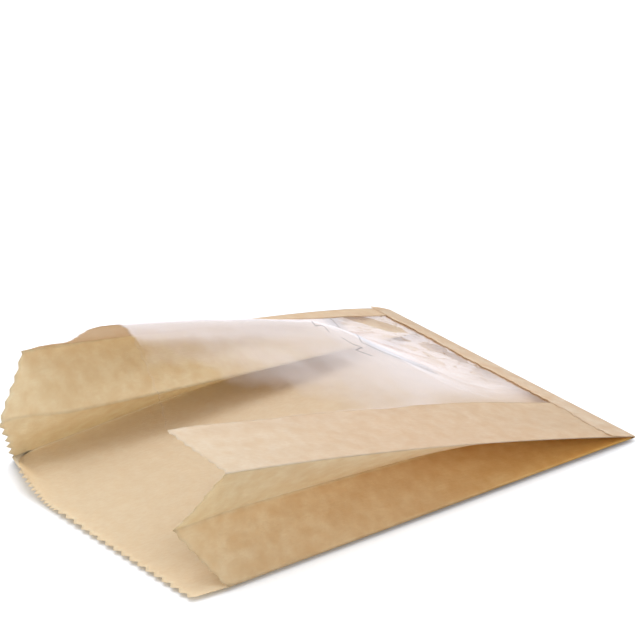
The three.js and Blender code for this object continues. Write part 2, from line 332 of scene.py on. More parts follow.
# %% [markdown]
# ## The paper web
# A flat grid, as wide as the web and as long as the bag, is folded by moving each of its points to where the
# paper goes. Each panel has a whole number of columns, so that every fold runs along a line of the grid and
# stays sharp. The saw-tooth edge takes four columns a tooth.

# %% Panels across the web
COLUMN = 0.0018
TOOTH_COLUMNS = 4
WEB_ROWS = 84
FLAP_ROWS = 10
PANELS = [
    ("near strip", STRIP_WIDTH),
    ("near upper gusset", GUSSET_HALF),
    ("near lower gusset", GUSSET_HALF),
    ("back", PANEL_WIDTH),
    ("far lower gusset", GUSSET_HALF),
    ("far upper gusset", GUSSET_HALF),
    ("far strip", FAR_STRIP_WIDTH),
]
panel_columns = [round(width / COLUMN) for _, width in PANELS]
WEB_COLUMNS = sum(panel_columns)
print("columns:", dict(zip((name for name, _ in PANELS), panel_columns)))


def panel_at(column):
    """The panel that a column is in, and how far across it the column is, from 0 to 1."""
    for index, count in enumerate(panel_columns):
        if column <= count:
            return index, column / count
        column -= count
    return len(panel_columns) - 1, 1.0


# %% [markdown]
# ## The gussets
# A gusset panel spans two folds. Straight lines between them would do for new card. Bag paper bows a little,
# so each line gets some crumple that is nothing at the folds and most in the middle. Beside a fold the two
# panels stand a layer apart, so that the sheets don't cut each other where the bag is pressed flat.

# %% Where each panel runs
TOP_SPREAD = LAYER_STEP + FILM_ROOM
GUSSET_CRUMPLE = 0.0022
GUSSET_SEED = 3.7


def fold_side(fold, spread, inward):
    """A panel's line just beside a fold, a little inward and above or below it."""
    def line(x):
        y, z = fold(x)
        return y + inward * FOLD_RADIUS, z + spread / 2
    return line


def between(start, end, t, x, seed):
    (y0, z0), (y1, z1) = start(x), end(x)
    bow = math.sin(math.pi * t) * crumple(t * GUSSET_HALF, x, seed, GUSSET_CRUMPLE)
    return mix(y0, y1, t) + bow, mix(z0, z1, t)


GUSSET_LINES = {
    1: (fold_side(near_top, -TOP_SPREAD, 1), fold_side(near_crease, LAYER_STEP, -1)),
    2: (fold_side(near_crease, -LAYER_STEP, -1), fold_side(near_base, LAYER_STEP, 1)),
    4: (fold_side(far_base, LAYER_STEP, -1), fold_side(far_crease, -LAYER_STEP, 1)),
    5: (fold_side(far_crease, LAYER_STEP, 1), fold_side(far_top, -TOP_SPREAD, -1)),
}
FOLDS = {1: near_top, 2: near_crease, 3: near_base, 4: far_base, 5: far_crease, 6: far_top}


def web_point(column, x):
    panel, t = panel_at(column)
    if t == 1.0 and panel < len(PANELS) - 1:
        return FOLDS[panel + 1](x)
    if panel == 0:
        return front_surface(mix(STRIP_WIDTH, 0, t), x)
    if panel == 3:
        return back_point(t * PANEL_WIDTH, x)
    if panel == 6:
        return front_surface(PANEL_WIDTH - t * FAR_STRIP_WIDTH, x)
    start, end = GUSSET_LINES[panel]
    return between(start, end, t, x, GUSSET_SEED * panel)


print("window edge of the near strip:", [round(v, 4) for v in web_point(0, 0)])

# %% [markdown]
# ## The mouth's edge
# The web is cut off with a toothed blade. The gusset's crease and the back's lip reach past the front cut.
# Teeth could come from a texture with transparency, but cut geometry also has an edge and a shadow.

# %% Where the mouth's edge runs
def tooth_share(column):
    """1 at the tip of a tooth and 0 between two teeth."""
    half = TOOTH_COLUMNS / 2
    return 1 - abs(column % TOOTH_COLUMNS - half) / half


def lip_edge(y):
    side = min(y, PANEL_WIDTH - y)
    in_corner = clamp(1 - side / LIP_CORNER)
    return -(LIP_LENGTH - LIP_CORNER * (1 - math.sqrt(1 - in_corner**2)))


def mouth_edge(column):
    """Where a column starts, as a distance from the front cut: the lip reaches furthest out."""
    panel, t = panel_at(column)
    reach = {
        0: 0,
        1: -CREASE_REACH * t,
        2: -CREASE_REACH * (1 - t),
        3: lip_edge(t * PANEL_WIDTH) if 0 < t < 1 else -FAR_BASE_REACH * t,
        4: -mix(FAR_BASE_REACH, CREASE_REACH, t),
        5: -CREASE_REACH * (1 - t),
        6: 0,
    }[panel]
    depth = LIP_TOOTH_DEPTH if panel in (3, 4) else TOOTH_DEPTH
    return reach - depth * tooth_share(column)


print("mouth's edge runs from", round(min(map(mouth_edge, range(WEB_COLUMNS))), 4), "m to 0")

# %% [markdown]
# ## The flap
# At the closed end the back panel turns up round the end and is glued down over the front. Its free edge is
# ragged, longer at the near corner, and lifts a little where the glue missed it.

# %% The flap's rows
TURN_ROWS = FLAP_ROWS - 5
FLAP_EXTRA = 0.003
FLAP_NEAR_EXTRA = 0.003
FLAP_NEAR_CORNER = (0.04, 0.02)
FLAP_TEETH = 0.6 * TOOTH_DEPTH
# Each unevenness of the flap's edge: its depth, its width along the edge, and its seed
FLAP_EDGE_SIZES = ((0.0016, 0.006, 4.2), (0.0008, 0.002, 9.2), (0.0012, 0.05, 8.8))
FLAP_LIFT = 0.0001
FLAP_CURL = 0.0006
FLAP_CURL_WIDTH = 0.02
FLAP_CURL_SEED = 1.7
FLAP_REST = 0.002


def flap_noise(y, width, seed):
    return noise.noise(Vector((y / width, seed, 0)))


def flap_point(column, step):
    """The place of a point of the flap: five rows turn round the end, and the rest lie on the front."""
    radius = (FLAP_LEVEL - BACK_LEVEL) / 2
    y = web_point(column, FRONT_LENGTH)[0]
    if step <= TURN_ROWS:
        angle = math.pi * step / TURN_ROWS
        return FRONT_LENGTH + radius * math.sin(angle), y, BACK_LEVEL + radius * (1 - math.cos(angle))
    ragged = sum(depth * flap_noise(y, width, seed) for depth, width, seed in FLAP_EDGE_SIZES)
    longer = FLAP_EXTRA + FLAP_NEAR_EXTRA * smooth(*FLAP_NEAR_CORNER, y)
    length = FLAP_LENGTH + longer + ragged + FLAP_TEETH * tooth_share(column)
    x = FRONT_LENGTH - length * (step - TURN_ROWS) / (FLAP_ROWS - TURN_ROWS)
    curl = FLAP_CURL * max(flap_noise(y, FLAP_CURL_WIDTH, FLAP_CURL_SEED), 0)
    lift = (FLAP_LIFT + curl) * (FRONT_LENGTH - x) / FLAP_LENGTH
    front = max(front_surface(y, at)[1] for at in (x, x + FLAP_REST))
    return x, y, front + LAYER_STEP + lift


first_back = sum(panel_columns[:3])
last_back = first_back + panel_columns[3]
flap_reach = [FRONT_LENGTH - flap_point(column, FLAP_ROWS)[0] for column in range(first_back, last_back)]
print("flap", round(min(flap_reach), 4), "to", round(max(flap_reach), 4), "m long")

# %% [markdown]
# ## Painted light and shade for each panel
# The panels of the real bag are one paper, but they don't look alike. Light comes through the gussets and
# grows warmer with each layer it passes, and the strips take the white of the light above. A path tracer
# finds much of that, but not all of it, so the rest is painted: each corner of the mesh carries a tint of
# painted light and shade, and with it how cloudy the paper looks. One could paint a picture for this, but a
# corner attribute needs no map and no file. The tints were tuned until the render's tones came near the
# photo's, so they are painted light and shade for its light and no measured property of the paper.

# %% Tints of painted light and shade
# Each panel's tint of painted light and shade at the mouth, half way and at the closed end, in the panels'
# order
PANEL_LIGHT_TINTS = [
    ((0.93, 0.945, 0.98), (0.915, 0.875, 0.85), (0.915, 0.87, 0.815)),
    ((0.87, 0.84, 0.71), (1, 1, 0.92), (1, 1, 1)),
    ((0.87, 0.825, 0.7), (0.89, 0.755, 0.52), (1, 0.75, 0.27)),
    ((1, 0.99, 0.94), (1, 0.98, 0.94), (0.95, 0.9, 0.85)),
    ((0.92, 0.92, 0.85), (0.93, 0.92, 0.82), (0.95, 0.9, 0.78)),
    ((0.92, 0.92, 0.85), (0.93, 0.92, 0.82), (0.95, 0.9, 0.78)),
    ((1, 0.97, 0.94), (1, 0.97, 0.94), (0.98, 0.95, 0.92)),
]
FLAP_TINT = (0.97, 0.96, 0.97)
FLAP_CLOUDINESS = 1
CLOUDINESS = [0.7, 0.9, 1, 0.3, 1, 1, 0.7]


def painted_light_tint(panel, share, on_flap):
    """A panel's tint of painted light and shade at a share of the bag's length, with its cloudiness as the
    fourth value.
    """
    if on_flap:
        return (*FLAP_TINT, FLAP_CLOUDINESS)
    stops = [Vector(color) for color in PANEL_LIGHT_TINTS[panel]]
    place = clamp(share) * 2
    first = min(int(place), 1)
    return (*stops[first].lerp(stops[first + 1], place - first), CLOUDINESS[panel])


print("near lower gusset half way:", [round(v, 3) for v in painted_light_tint(2, 0.5, False)])

# %% [markdown]
# ## Fold the web
# The grid's points first hold their column and row, which makes it easy to ask which panel they are in. Then
# each goes to its folded place. Beyond the closed end only the back panel goes on, as the flap, so the rest
# of those rows is deleted. A Solidify modifier gives the sheet its thickness, half to each side.

# %% A flat sheet and a finished one
def new_sheet(columns, rows):
    """A flat grid whose points carry their column and row as x and y."""
    mesh = bmesh.new()
    bmesh.ops.create_grid(mesh, x_segments=columns, y_segments=rows, size=0.5)
    for vert in mesh.verts:
        vert.co = ((vert.co.x + 0.5) * columns, (vert.co.y + 0.5) * rows, 0)
    return mesh


def finish_sheet(mesh, name, thickness):
    data = bpy.data.meshes.new(name)
    mesh.to_mesh(data)
    mesh.free()
    data.shade_smooth()
    piece = bpy.data.objects.new(name, data)
    bpy.context.scene.collection.objects.link(piece)
    solid = piece.modifiers.new("thickness", "SOLIDIFY")
    solid.thickness = thickness
    solid.offset = 0
    print(name, len(data.polygons), "faces")
    return piece


# %% Make the paper
web = new_sheet(WEB_COLUMNS, WEB_ROWS + FLAP_ROWS)
outside_flap = [
    vert for vert in web.verts
    if vert.co.y > WEB_ROWS + 0.5 and not first_back - 0.5 < vert.co.x < last_back + 0.5
]
bmesh.ops.delete(web, geom=outside_flap, context="VERTS")

# Each corner takes its panel's tint of painted light and shade, and its cloudiness.
tint = web.loops.layers.float_color.new("tint")
for face in web.faces:
    middle = face.calc_center_median()
    panel = panel_at(math.floor(middle.x) + 0.5)[0]
    for loop in face.loops:
        loop[tint] = painted_light_tint(panel, loop.vert.co.y / WEB_ROWS, middle.y > WEB_ROWS)

for vert in web.verts:
    column, row = round(vert.co.x), round(vert.co.y)
    if row > WEB_ROWS:
        x, y, z = flap_point(column, row - WEB_ROWS)
    else:
        end = FRONT_LENGTH if first_back <= column <= last_back else LAYERS_END
        x = mix(mouth_edge(column), end, row / WEB_ROWS)
        y, z = web_point(column, x)
    vert.co = (FRONT_CUT + x, NEAR_SIDE + y, z)
bmesh.ops.recalc_face_normals(web, faces=web.faces)
bag = finish_sheet(web, "kraft_paper_bag", PAPER_THICKNESS)

# %% [markdown]
# ## The window film
# The film is a second grid under the arch. Its two margins follow the strips that it is glued to, and in
# between it has the ripples and sharp little ridges of thin film. It is set off square to the surface and
# not straight down, because on the arch's steep side a step straight down would bring the two too close.
# Its map holds the flat film's own lengths, so that a mark can be placed on it with a ruler.

# %% Lay the film
FILM_COLUMNS = 132
FILM_ROWS = 190
FILM_TOOTH_COLUMNS = 6
FILM_START = STRIP_WIDTH - GLUE_MARGIN
FILM_END = PANEL_WIDTH - FAR_STRIP_WIDTH + GLUE_MARGIN
FILM_OFFSET = (PAPER_THICKNESS + FILM_THICKNESS) / 2 + LAYER_GAP
SLOPE_STEP = 0.001
GLUE_HOLD = 0.02
FILM_SEED = 11.3
SOFT_HEIGHT = 0.0004
SOFT_SIZE = (0.07, 0.035)
RIDGE_HEIGHT = 0.0002
RIDGE_SIZE = (0.055, 0.02)
RIDGE_SLANTS = (0.6, 0.5)
RIDGE_FROM = (0.05, 0.22)
RIDGE_SHARPNESS = 6
PUCKER_HEIGHT = 0.00012
PUCKER_SIZE = (0.03, 0.006)
PUCKER_FROM = (0.18, 0.25)


def film_ripple(along, x):
    """Ripples between the strips: soft ones along the bag, and slanting ridges near the closed end."""
    inside = smooth(0, GLUE_HOLD, min(along - STRIP_WIDTH, PANEL_WIDTH - FAR_STRIP_WIDTH - along))
    free = inside * smooth(0, GLUE_HOLD, FLAP_START - x)
    soft = wave(along, x, FILM_SEED, *SOFT_SIZE)
    down_slant = (x - RIDGE_SLANTS[0] * along) / RIDGE_SIZE[0]
    over_slant = (along + RIDGE_SLANTS[1] * x) / RIDGE_SIZE[1]
    ridge = (1 - abs(noise.noise(Vector((down_slant, over_slant, 3.3))))) ** RIDGE_SHARPNESS
    pucker = noise.noise(Vector((x / PUCKER_SIZE[0], along / PUCKER_SIZE[1], 6.1)))
    ridges = RIDGE_HEIGHT * ridge * smooth(*RIDGE_FROM, x)
    puckers = PUCKER_HEIGHT * pucker * smooth(*PUCKER_FROM, x)
    return free * (SOFT_HEIGHT * soft + ridges + puckers)


film = new_sheet(FILM_COLUMNS, FILM_ROWS)
film_uv = film.loops.layers.uv.new("film")
for face in film.faces:
    for loop in face.loops:
        across, row = loop.vert.co.x / FILM_COLUMNS, loop.vert.co.y / FILM_ROWS
        loop[film_uv].uv = (mix(FILM_START, FILM_END, across), row * LAYERS_END)

half_tooth = FILM_TOOTH_COLUMNS / 2
for vert in film.verts:
    across, row = vert.co.x / FILM_COLUMNS, vert.co.y / FILM_ROWS
    along = mix(FILM_START, FILM_END, across)
    tooth = TOOTH_DEPTH * (1 - abs(round(vert.co.x) % FILM_TOOTH_COLUMNS - half_tooth) / half_tooth)
    x = mix(-tooth, LAYERS_END, row)
    y, z = front_surface(along, x)
    (y0, z0), (y1, z1) = front_surface(along - SLOPE_STEP, x), front_surface(along + SLOPE_STEP, x)
    drop = (FILM_OFFSET - film_ripple(along, x)) / math.hypot(y1 - y0, z1 - z0)
    vert.co = (FRONT_CUT + x, NEAR_SIDE + y + drop * (z1 - z0), z - drop * (y1 - y0))
bmesh.ops.recalc_face_normals(film, faces=film.faces)
window = finish_sheet(film, "clear_window_film", FILM_THICKNESS)

# %% [markdown]
# ## Small tools for materials
# A material is a net of nodes, and the same few nodes come up again and again: a sum, a noise, a ramp, a mix
# of two colours. One function for each keeps the nets below short enough to read.

# %% Node helpers
def srgb(red, green, blue):
    """A colour as an image program shows it, made linear for the shader."""
    values = [v / 255 for v in (red, green, blue)]
    linear = [v / 12.92 if v <= 0.04045 else ((v + 0.055) / 1.055) ** 2.4 for v in values]
    return (*linear, 1)


def new_material(name):
    material = bpy.data.materials.new(name)
    material.use_nodes = True
    return material, material.node_tree.nodes, material.node_tree.links


def feed(links, socket, value):
    """Links the socket to another node's output, or sets it to a constant."""
    if isinstance(value, bpy.types.NodeSocket):
        links.new(value, socket)
    else:
        socket.default_value = value


def mix_color(nodes, links, factor, a, b, blend="MIX"):
    node = nodes.new("ShaderNodeMix")
    node.data_type = "RGBA"
    node.blend_type = blend
    for index, value in ((0, factor), (6, a), (7, b)):
        feed(links, node.inputs[index], value)
    return node.outputs[2]


def add_math(nodes, links, operation, *values):
    node = nodes.new("ShaderNodeMath")
    node.operation = operation
    for socket, value in zip(node.inputs, values):
        feed(links, socket, value)
    return node.outputs[0]


def add_noise(nodes, links, vector, scale, detail, stretch=(1, 1, 1)):
    mapping = nodes.new("ShaderNodeMapping")
    mapping.inputs["Scale"].default_value = stretch
    texture = nodes.new("ShaderNodeTexNoise")
    texture.inputs["Scale"].default_value = scale
    texture.inputs["Detail"].default_value = detail
    links.new(vector, mapping.inputs["Vector"])
    links.new(mapping.outputs["Vector"], texture.inputs["Vector"])
    return texture.outputs["Fac"]


def add_ramp(nodes, links, factor, low, high):
    """0 where the factor is low, 1 where it is high, and even steps between."""
    node = nodes.new("ShaderNodeMapRange")
    node.inputs["From Min"].default_value = low
    node.inputs["From Max"].default_value = high
    links.new(factor, node.inputs["Value"])
    return node.outputs["Result"]


print("white as written:", srgb(255, 255, 255))

# %% [markdown]
# ## Kraft paper
# Bag kraft is a warm beige, cloudy where the fibres lie denser, with fibres drawn out along the bag. Two
# noises do that, one coarse and one fine, and the fine one also gives the surface its slight tooth. Thin
# paper lets light through, so a Translucent shader is mixed with the usual one. Without it the inside of the
# bag comes out far too dark. The panel's tint multiplies both.

# %% The kraft material
KRAFT_LIGHT = srgb(254, 243, 224)
KRAFT_DARK = srgb(238, 215, 185)
LIGHT_THROUGH = srgb(255, 242, 218)
THROUGH_SHARE = 0.4
CLOUD_SCALE = 130
CLOUD_SPREAD = (0.34, 0.68)
FIBRE_SCALE = 700
FIBRE_STRETCH = (0.4, 1, 1)
FIBRE_SPREAD = (0.35, 0.7)
FIBRE_STRENGTH = 0.4
FIBRE_HEIGHT = 0.0003

kraft, nodes, links = new_material("mottled kraft paper")
place = nodes.new("ShaderNodeTexCoord").outputs["Object"]
# The tint attribute paints light and shade on each panel, and its alpha carries the paper's cloudiness.
light_tint_and_cloudiness = nodes.new("ShaderNodeAttribute")
light_tint_and_cloudiness.attribute_name = "tint"
clouds = add_noise(nodes, links, place, CLOUD_SCALE, detail=8)
clouds = add_ramp(nodes, links, clouds, *CLOUD_SPREAD)
clouds = add_math(nodes, links, "MULTIPLY", clouds, light_tint_and_cloudiness.outputs["Alpha"])
fibres = add_noise(nodes, links, place, FIBRE_SCALE, detail=4, stretch=FIBRE_STRETCH)
fibres = add_ramp(nodes, links, fibres, *FIBRE_SPREAD)
paper_color = mix_color(nodes, links, clouds, KRAFT_LIGHT, KRAFT_DARK)
fine = add_math(nodes, links, "MULTIPLY", fibres, FIBRE_STRENGTH)
paper_color = mix_color(nodes, links, fine, paper_color, KRAFT_DARK)
paper_color = mix_color(nodes, links, 1.0, paper_color, light_tint_and_cloudiness.outputs["Color"], "MULTIPLY")
through_color = mix_color(nodes, links, 1.0, LIGHT_THROUGH, light_tint_and_cloudiness.outputs["Color"], "MULTIPLY")
bump = nodes.new("ShaderNodeBump")
bump.inputs["Strength"].default_value = 0.25
bump.inputs["Distance"].default_value = FIBRE_HEIGHT
links.new(fibres, bump.inputs["Height"])

surface = nodes["Principled BSDF"]
surface.inputs["Roughness"].default_value = 0.8
surface.inputs["Specular IOR Level"].default_value = 0.25
through = nodes.new("ShaderNodeBsdfTranslucent")
links.new(paper_color, surface.inputs["Base Color"])
links.new(through_color, through.inputs["Color"])
for shader in (surface, through):
    links.new(bump.outputs["Normal"], shader.inputs["Normal"])
sheet = nodes.new("ShaderNodeMixShader")
sheet.inputs[0].default_value = THROUGH_SHARE
links.new(surface.outputs[0], sheet.inputs[1])
links.new(through.outputs[0], sheet.inputs[2])
links.new(sheet.outputs[0], nodes["Material Output"].inputs["Surface"])
bag.data.materials.append(kraft)
print("kraft paper:", len(nodes), "nodes")

# %% [markdown]
# ## Lines on the film
# Sharp creases in film show as thin grey lines, and a fold that catches the light as a pale band. They lie at
# certain places, so they are lists of points on the flat film, in metres: along the front panel from its near
# fold, and in from the front cut. Those places were read off the photo and carried onto the flat film with
# the same camera, then rounded or moved. A node group measures how near a place is to a straight line, and a
# run of them makes a bent line. A little noise moves the place first, so that no line looks ruled.

# %% Where the film's marks lie
# The crease lines and the sheen band are painted reflections: the film's mirror share is raised along them,
# grey at the crease lines and pale on the band.
CREASES = [
    [(0.124, 0), (0.122, 0.06), (0.120, 0.117), (0.125, 0.137), (0.1135, 0.132), (0.1155, 0.139),
     (0.109, 0.139)],
    [(0.1058, 0.1458), (0.1018, 0.1519), (0.1008, 0.1575), (0.0975, 0.1505), (0.095, 0.1611)],
    [(0.201, 0.2168), (0.172, 0.202), (0.140, 0.180), (0.1065, 0.161), (0.1025, 0.173), (0.100, 0.189),
     (0.096, 0.2014), (0.092, 0.2077)],
]
SHEEN_BAND = [
    (0.206, 0.2205), (0.160, 0.190), (0.1215, 0.1665), (0.108, 0.170), (0.104, 0.188), (0.0975, 0.203),
]
CLEAR_CORNER = [(0.203, 0.241), (0.184, 0.253)]
CLEAR_SIDE = [(0.050, 0.195), (0.052, 0.245), (0.060, 0.268)]
CREASE_WIDTH = 0.0007
SHEEN_WIDTH = 0.0105
CLEAR_CORNER_WIDTH = 0.013
CLEAR_SIDE_WIDTH = 0.028


def line_group():
    """How near a place on the sheet is to a straight line: 1 on the line, 0 a width away."""
    group = bpy.data.node_groups.new("near a line", "ShaderNodeTree")
    for name in ("Place", "From", "To"):
        group.interface.new_socket(name, in_out="INPUT", socket_type="NodeSocketVector")
    group.interface.new_socket("Width", in_out="INPUT", socket_type="NodeSocketFloat")
    group.interface.new_socket("Nearness", in_out="OUTPUT", socket_type="NodeSocketFloat")
    nodes, links = group.nodes, group.links
    given, result = nodes.new("NodeGroupInput"), nodes.new("NodeGroupOutput")

    def vector(operation, *sockets):
        node = nodes.new("ShaderNodeVectorMath")
        node.operation = operation
        for socket, value in zip(node.inputs, sockets):
            links.new(value, socket)
        return node

    reach = vector("SUBTRACT", given.outputs["To"], given.outputs["From"]).outputs[0]
    offset = vector("SUBTRACT", given.outputs["Place"], given.outputs["From"]).outputs[0]
    along = vector("DOT_PRODUCT", offset, reach).outputs["Value"]
    length = vector("DOT_PRODUCT", reach, reach).outputs["Value"]
    share = nodes.new("ShaderNodeClamp")
    links.new(add_math(nodes, links, "DIVIDE", along, length), share.inputs["Value"])
    foot = nodes.new("ShaderNodeVectorMath")
    foot.operation = "SCALE"
    links.new(reach, foot.inputs[0])
    links.new(share.outputs[0], foot.inputs["Scale"])
    distance = vector("DISTANCE", offset, foot.outputs[0]).outputs["Value"]
    near = nodes.new("ShaderNodeMapRange")
    near.interpolation_type = "SMOOTHSTEP"
    near.inputs["To Min"].default_value = 1
    near.inputs["To Max"].default_value = 0
    links.new(distance, near.inputs["Value"])
    links.new(given.outputs["Width"], near.inputs["From Max"])
    links.new(near.outputs["Result"], result.inputs["Nearness"])
    return group


NEAR_LINE = line_group()


def add_lines(nodes, links, place, paths, width):
    """The nearness to the nearest of the paths, each a run of straight lines."""
    total = None
    for path in paths:
        for start, end in zip(path, path[1:]):
            line = nodes.new("ShaderNodeGroup")
            line.node_tree = NEAR_LINE
            links.new(place, line.inputs["Place"])
            line.inputs["From"].default_value = (*start, 0)
            line.inputs["To"].default_value = (*end, 0)
            line.inputs["Width"].default_value = width
            nearness = line.outputs["Nearness"]
            total = nearness if total is None else add_math(nodes, links, "MAXIMUM", total, nearness)
    return total


print("straight lines on the film:", sum(len(path) - 1 for path in CREASES) + len(SHEEN_BAND) - 1)

# %% The film's places and its lines
JOG_SCALE = 160
CREASE_JOG = 0.001
FACET_JOG = 0.008
CORNER_CUT = 0.3

clear, nodes, links = new_material("clear film")
nodes.remove(nodes["Principled BSDF"])
film_map = nodes.new("ShaderNodeUVMap")
film_map.uv_map = "film"
film_place = film_map.outputs["UV"]
film_axes = nodes.new("ShaderNodeSeparateXYZ")
links.new(film_place, film_axes.inputs[0])
film_across, film_along = film_axes.outputs["X"], film_axes.outputs["Y"]
jog = nodes.new("ShaderNodeTexNoise")
jog.inputs["Scale"].default_value = JOG_SCALE
links.new(film_place, jog.inputs["Vector"])


def jogged_place(reach):
    """The place on the film, pushed about by noise so that lines and facets there run unevenly."""
    push = nodes.new("ShaderNodeVectorMath")
    push.operation = "MULTIPLY_ADD"
    links.new(jog.outputs["Color"], push.inputs[0])
    push.inputs[1].default_value = (reach, reach, 0)
    links.new(film_place, push.inputs[2])
    return push.outputs[0]


def film_math(operation, *values):
    return add_math(nodes, links, operation, *values)


def film_ramp(factor, low, high):
    return add_ramp(nodes, links, factor, low, high)


crease_reflections = add_lines(nodes, links, jogged_place(CREASE_JOG), CREASES, CREASE_WIDTH)
sheen = add_lines(nodes, links, jogged_place(CREASE_JOG), [SHEEN_BAND], SHEEN_WIDTH)
corner = add_lines(nodes, links, jogged_place(FACET_JOG), [CLEAR_CORNER], CLEAR_CORNER_WIDTH)
corner = film_math("GREATER_THAN", corner, CORNER_CUT)
side = add_lines(nodes, links, film_place, [CLEAR_SIDE], CLEAR_SIDE_WIDTH)
print("film's lines:", len(nodes), "nodes so far")

# %% [markdown]
# ## Facets near the flap
# Where the flap holds it, the film is crushed into small flat facets. Each mirrors something else, so some
# look clear and some white, with brownish rims here and there. A Voronoi texture splits the film into cells,
# and its random colour for each cell says which are clear and which white.

# %% Facets
FACET_SCALE = 75
CRUMPLED_ALONG = (0.205, 0.235)
CRUMPLED_ACROSS = (0.085, 0.115)
CLEAR_BELOW = 0.18
CLEAR_STRENGTH = 0.6
WHITE_ABOVE = 0.62
RIM_WIDTH = 0.06
RIM_PATCHES = (0.47, 0.6)

crumpled_along = film_ramp(film_along, *CRUMPLED_ALONG)
crumpled = film_math("MULTIPLY", crumpled_along, film_ramp(film_across, *CRUMPLED_ACROSS))


def film_cells(feature):
    cells = nodes.new("ShaderNodeTexVoronoi")
    cells.feature = feature
    cells.inputs["Scale"].default_value = FACET_SCALE
    links.new(jogged_place(FACET_JOG), cells.inputs["Vector"])
    return cells


facet_tone = nodes.new("ShaderNodeSeparateColor")
links.new(film_cells("F1").outputs["Color"], facet_tone.inputs[0])
clear_facets = film_math("LESS_THAN", facet_tone.outputs[0], CLEAR_BELOW)
clear_facets = film_math("MULTIPLY", clear_facets, crumpled)
clear_facets = film_math("MULTIPLY", clear_facets, CLEAR_STRENGTH)
white_facets = film_math("GREATER_THAN", facet_tone.outputs[0], WHITE_ABOVE)
white_facets = film_math("MULTIPLY", white_facets, crumpled)
white_facets = film_math("SUBTRACT", white_facets, corner)
rims = film_ramp(film_cells("DISTANCE_TO_EDGE").outputs["Distance"], RIM_WIDTH, 0)
rims = film_math("MULTIPLY", rims, crumpled)
rims = film_math("MULTIPLY", rims, film_ramp(jog.outputs["Fac"], *RIM_PATCHES))
print("with facets:", len(nodes), "nodes")

# %% [markdown]
# ## Clear film
# Thin film shows what is behind it and mirrors the light at a slant. Glass shaders bend the view and are
# slow, so a Transparent shader and a Glossy one are mixed instead. How much is mirrored grows with the slant,
# which the Layer Weight node gives. It is more than Fresnel's law says, because bag film is a little cloudy.
# Then it is taken down where the film is drawn flat or stands clear, and raised at the marks, but those too
# fade when they are seen straight on. The last 3 mm before the cut edge fade out, so that the edge isn't a
# hard line.

# %% The film material
FILM_WHITE = srgb(250, 242, 241)
FILM_GREY = srgb(170, 160, 162)
SHEEN = srgb(232, 228, 231)
RIM_BROWN = srgb(214, 190, 164)
CREASE_GREY = 0.65
HAZE_BY_SLANT = [(0.3, 0.07), (0.585, 0.61), (0.8, 0.85), (1, 0.95)]
CLEAR_LOSS = -0.75
FLAT_LOSS = -0.38
FLAT_FROM = (0.18, 0.225)
MARKS_SEEN_FROM = (0.1, 0.55)
WHITE_COVER = 0.52
SHEEN_COVER = 0.45
CREASE_COVER = 0.5
RIM_COVER = 0.45
STRIP_COVER = 0.45
STRIP_FROM = (0.2, 0.205)
MOUTH_EDGE = 0.003

slant = nodes.new("ShaderNodeLayerWeight")
slant.inputs["Blend"].default_value = 0.5
haze = nodes.new("ShaderNodeFloatCurve")
curve = haze.mapping.curves[0]
curve.points[0].location = HAZE_BY_SLANT[0]
curve.points[1].location = HAZE_BY_SLANT[-1]
for point in HAZE_BY_SLANT[1:-1]:
    curve.points.new(*point)
haze.mapping.update()
links.new(slant.outputs["Facing"], haze.inputs["Value"])

cover = haze.outputs["Value"]
clear_places = film_math("MAXIMUM", clear_facets, corner)
drawn_flat = film_ramp(film_along, *FLAT_FROM)
for where, loss in ((clear_places, CLEAR_LOSS), (drawn_flat, FLAT_LOSS), (side, CLEAR_LOSS)):
    cover = film_math("MULTIPLY", cover, film_math("MULTIPLY_ADD", where, loss, 1))
glance = film_ramp(slant.outputs["Facing"], *MARKS_SEEN_FROM)
marks = ((white_facets, WHITE_COVER), (sheen, SHEEN_COVER), (crease_reflections, CREASE_COVER), (rims, RIM_COVER))
for mark, strength in marks:
    shown = film_math("MULTIPLY", mark, film_math("MULTIPLY", glance, strength))
    cover = film_math("MAXIMUM", cover, shown)
# Where the film is glued under the far strip its mirror share is raised as well, a painted reflection on the
# film there.
under_strip = film_math("MULTIPLY", film_ramp(film_across, *STRIP_FROM), STRIP_COVER)
cover = film_math("MAXIMUM", cover, under_strip)
cover = film_math("MULTIPLY", cover, film_ramp(film_along, 0, MOUTH_EDGE))

# The mirror's colour carries the painted reflections: pale on the sheen band and grey along the crease lines.
film_color = mix_color(nodes, links, sheen, FILM_WHITE, SHEEN)
film_color = mix_color(nodes, links, film_math("MULTIPLY", crease_reflections, CREASE_GREY), film_color, FILM_GREY)
film_color = mix_color(nodes, links, rims, film_color, RIM_BROWN)
mirror = nodes.new("ShaderNodeBsdfGlossy")
mirror.inputs["Roughness"].default_value = 0.2
links.new(film_color, mirror.inputs["Color"])
see_through = nodes.new("ShaderNodeBsdfTransparent")
blend = nodes.new("ShaderNodeMixShader")
links.new(cover, blend.inputs[0])
links.new(see_through.outputs[0], blend.inputs[1])
links.new(mirror.outputs[0], blend.inputs[2])
links.new(blend.outputs[0], nodes["Material Output"].inputs["Surface"])
window.data.materials.append(clear)
print("clear film:", len(nodes), "nodes")

# %% [markdown]
# ## Put the pieces on the model
# Nothing on the bag moves by itself, so both sheets ride on the root. Each takes the place of its solid.

# %% Put the pieces on the model
for piece, node, slot in ((bag, "kraft_paper_body", "kraft_paper"), (window, "window_film", "clear_film")):
    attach(piece, "root")
    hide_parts(node)
    print(piece.name, "stands for", node)

# %% [markdown]
# ## The table
# The bag lies on a white table, and the photo is lit so that only a thin dark line of shadow is left on it,
# close under the edges. A plain white plane would render light grey, and more lamps would bleach the paper.
# So the table glows a little, but only for the camera and in mirror images, so that it throws no light on the
# paper. The glow is less where something is close above, which an Ambient Occlusion node finds: that is a
# painted contact shadow under the bag's edges. The table stands 2 mm lower than the bag's back, for the
# shadow gap.

